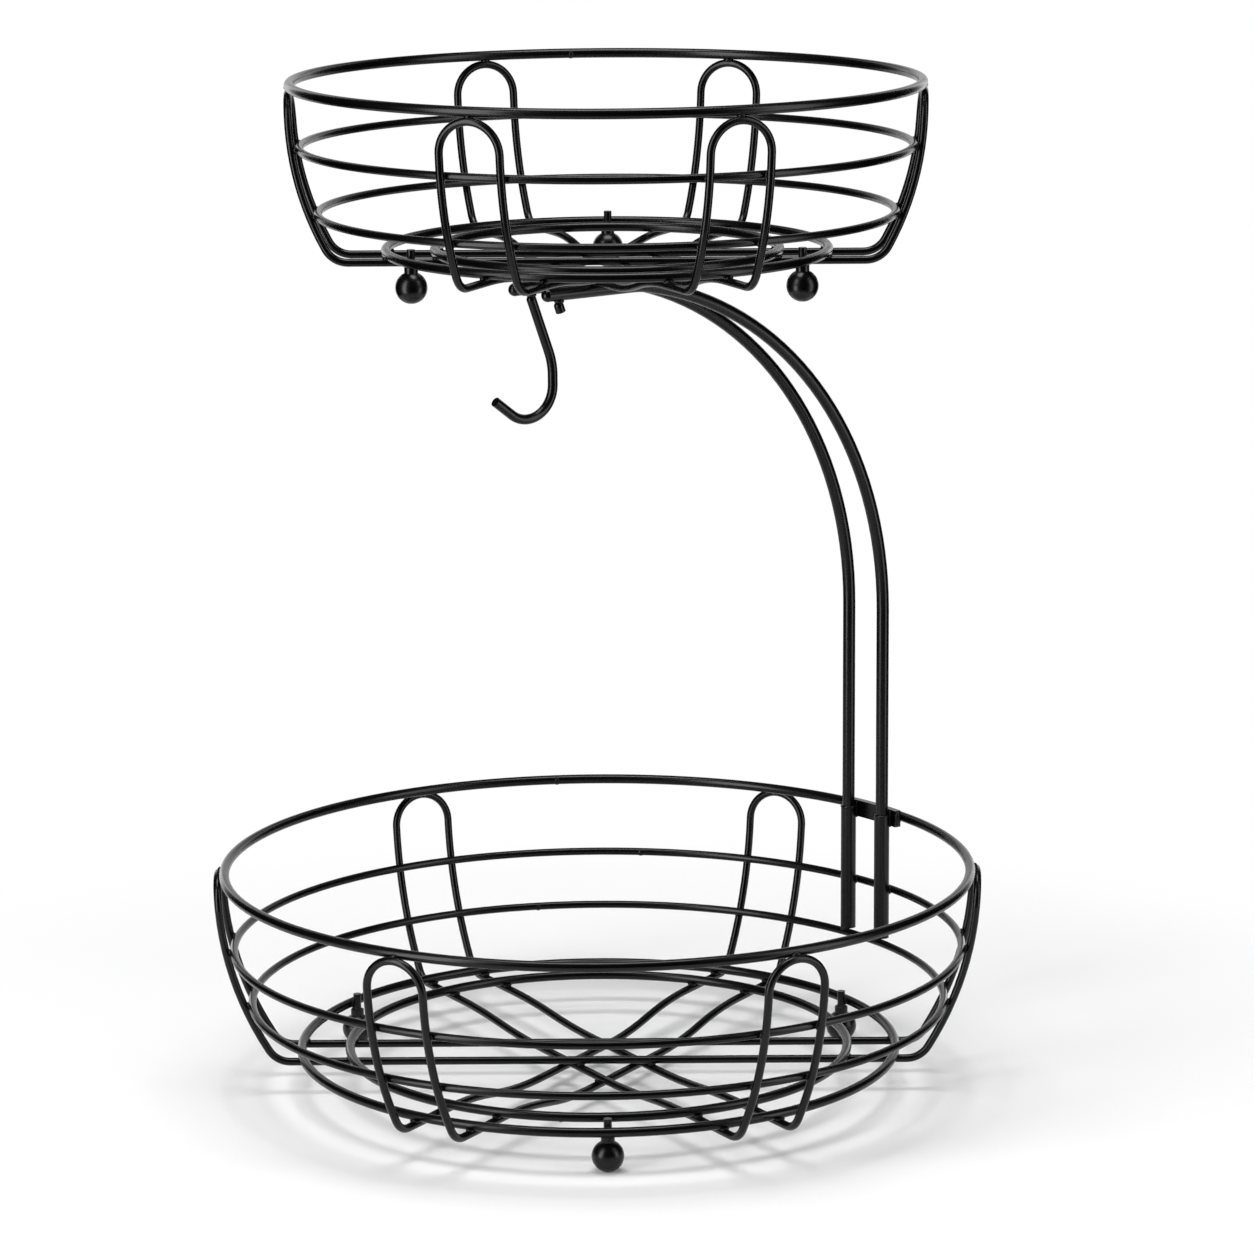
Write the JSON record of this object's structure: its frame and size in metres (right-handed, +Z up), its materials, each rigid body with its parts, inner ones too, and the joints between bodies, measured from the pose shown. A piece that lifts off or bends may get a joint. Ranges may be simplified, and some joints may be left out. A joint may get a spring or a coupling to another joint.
{
  "type": "fruit bowl with banana hanger",
  "caption": "Round open wire fruit bowls in two tiers on a curved twin wire arch, with ball feet and a hook for hanging bananas.",
  "frame": {"origin": "on the floor, under the centre of the lower bowl", "axes": "+X to the right, +Y away from the front of the bowl, +Z up"},
  "size_m": [0.3096, 0.3046, 0.4086],
  "materials": {
    "black_coat": "satin black powder coat on steel wire"
  },
  "bodies": {
    "root": {"lower_rim": "black_coat", "lower_mid_hoop": "black_coat", "lower_low_hoop": "black_coat", "lower_base_ring": "black_coat", "lower_inner_ring": "black_coat", "lower_loop_across": "black_coat", "lower_loop_back_right": "black_coat", "lower_loop_back_left": "black_coat", "lower_foot_front": "black_coat", "lower_foot_back_right": "black_coat", "lower_foot_back_left": "black_coat", "upper_rim": "black_coat", "upper_mid_hoop": "black_coat", "upper_low_hoop": "black_coat", "upper_base_ring": "black_coat", "upper_inner_ring": "black_coat", "upper_loop_across": "black_coat", "upper_loop_back_right": "black_coat", "upper_loop_back_left": "black_coat", "upper_foot_back": "black_coat", "upper_foot_front_left": "black_coat", "upper_foot_front_right": "black_coat", "left_socket": "black_coat", "right_socket": "black_coat", "socket_strap": "black_coat", "left_arch_wire": "black_coat", "right_arch_wire": "black_coat", "banana_hook": "black_coat", "short_peg": "black_coat"}
  },
  "joints": []
}
